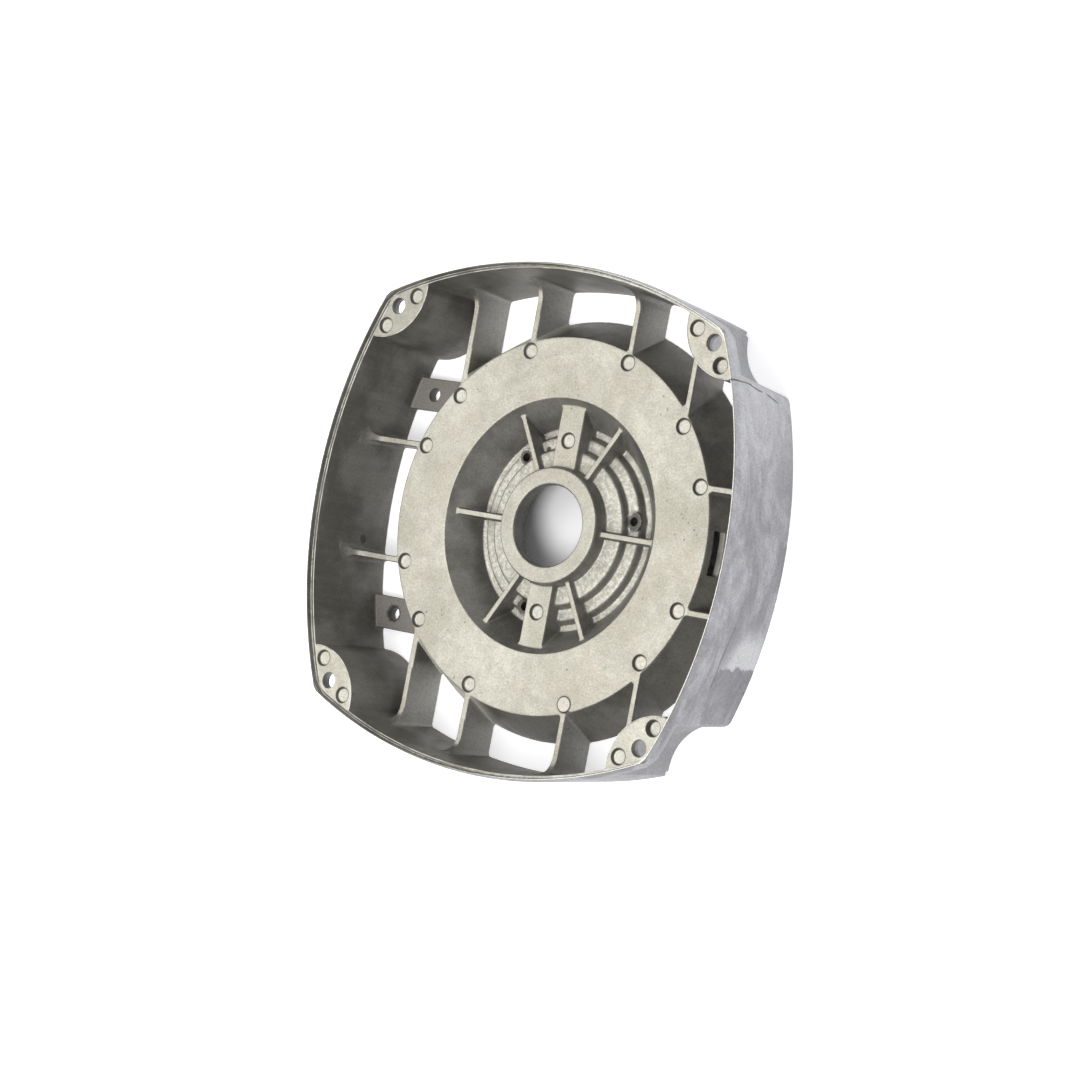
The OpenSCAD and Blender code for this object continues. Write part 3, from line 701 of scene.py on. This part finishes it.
# floor, light and camera; each lamp is its place, aim, size, power and tone
studio = {
    "floorTone": (0.93, 0.93, 0.94, 1), "floorRough": 0.9, "floorSize": 12, "floorDrop": 0.0002,
    "floorGlow": 0.5, "glowRadius": (0.130, 0.137), "skyTone": (1.0, 1.0, 1.0, 1), "skyLevel": 0.62,
    "lamps": {
        "key": ((0.3, -0.75, 1.85), (0, 0, 0.03), 1.2, 24, (1, 1, 1)),
        "fill": ((-0.5, 0.4, 1.8), (0, 0, 0.03), 1.4, 8, (1, 1, 1)),
        "side": ((1.6, 0.8, 0.55), (0.1, 0, 0.03), 1.0, 8, (0.95, 0.96, 1.0)),
    },
}
viewpoint = {  # camera found from the photo's holes, pads and rim; place in metres, turn as a rotation vector
    "place": (1.1060, -0.0440, 1.5362), "turn": (2.90360932, 0.259068163, -0.953023834),
    "focalPixels": 2912.74, "imagePixels": 1080, "sensorWidth": 36, "farthest": 50,
}


def makeFloor():  # pale, and lit like a light table outside the drum
    work = bmesh.new()
    bmesh.ops.create_grid(work, x_segments=1, y_segments=1, size=studio["floorSize"])
    mesh = bpy.data.meshes.new("floor")
    work.to_mesh(mesh)
    work.free()
    floor = addObject("floor", mesh)
    floor.location.z = -studio["floorDrop"]
    material, tree, shader = newMaterial("paleFloor")
    shader.inputs["Base Color"].default_value = studio["floorTone"]
    shader.inputs["Roughness"].default_value = studio["floorRough"]
    lit = ramp(tree, axisRadius(tree, placeAxes(tree)[1]), *studio["glowRadius"])
    tree.links.new(blendColour(tree, lit, (0, 0, 0, 1), studio["floorTone"]), shader.inputs["Emission Color"])
    shader.inputs["Emission Strength"].default_value = studio["floorGlow"]
    mesh.materials.append(material)


def makeLight(name, place, aim, size, power, tone):
    data = bpy.data.lights.new(name, "AREA")
    data.shape = "DISK"
    data.size = size
    data.energy = power
    data.color = tone
    lamp = addObject(name, data)
    lamp.location = place
    lamp.rotation_euler = (Vector(aim) - Vector(place)).to_track_quat("-Z", "Y").to_euler()


def makeSky():
    world = bpy.data.worlds.new("studio")
    bpy.context.scene.world = world
    world.use_nodes = True
    background = world.node_tree.nodes["Background"]
    background.inputs["Color"].default_value = studio["skyTone"]
    background.inputs["Strength"].default_value = studio["skyLevel"]


def makeCamera():
    data = bpy.data.cameras.new("camera")
    data.sensor_width = viewpoint["sensorWidth"]
    data.lens = viewpoint["focalPixels"] / viewpoint["imagePixels"] * data.sensor_width
    data.clip_end = viewpoint["farthest"]
    camera = addObject("camera", data)
    turn = Vector(viewpoint["turn"])
    worldToPhoto = Matrix.Rotation(turn.length, 3, turn.normalized())
    camera.rotation_euler = (worldToPhoto.transposed() @ Matrix.Diagonal((1, -1, -1))).to_euler()
    camera.location = viewpoint["place"]
    bpy.context.scene.camera = camera


makeFloor()
makeSky()
for name, lamp in studio["lamps"].items():
    makeLight(name, *lamp)
makeCamera()
bpy.context.scene.view_settings.view_transform = "Standard"
print("stage made")
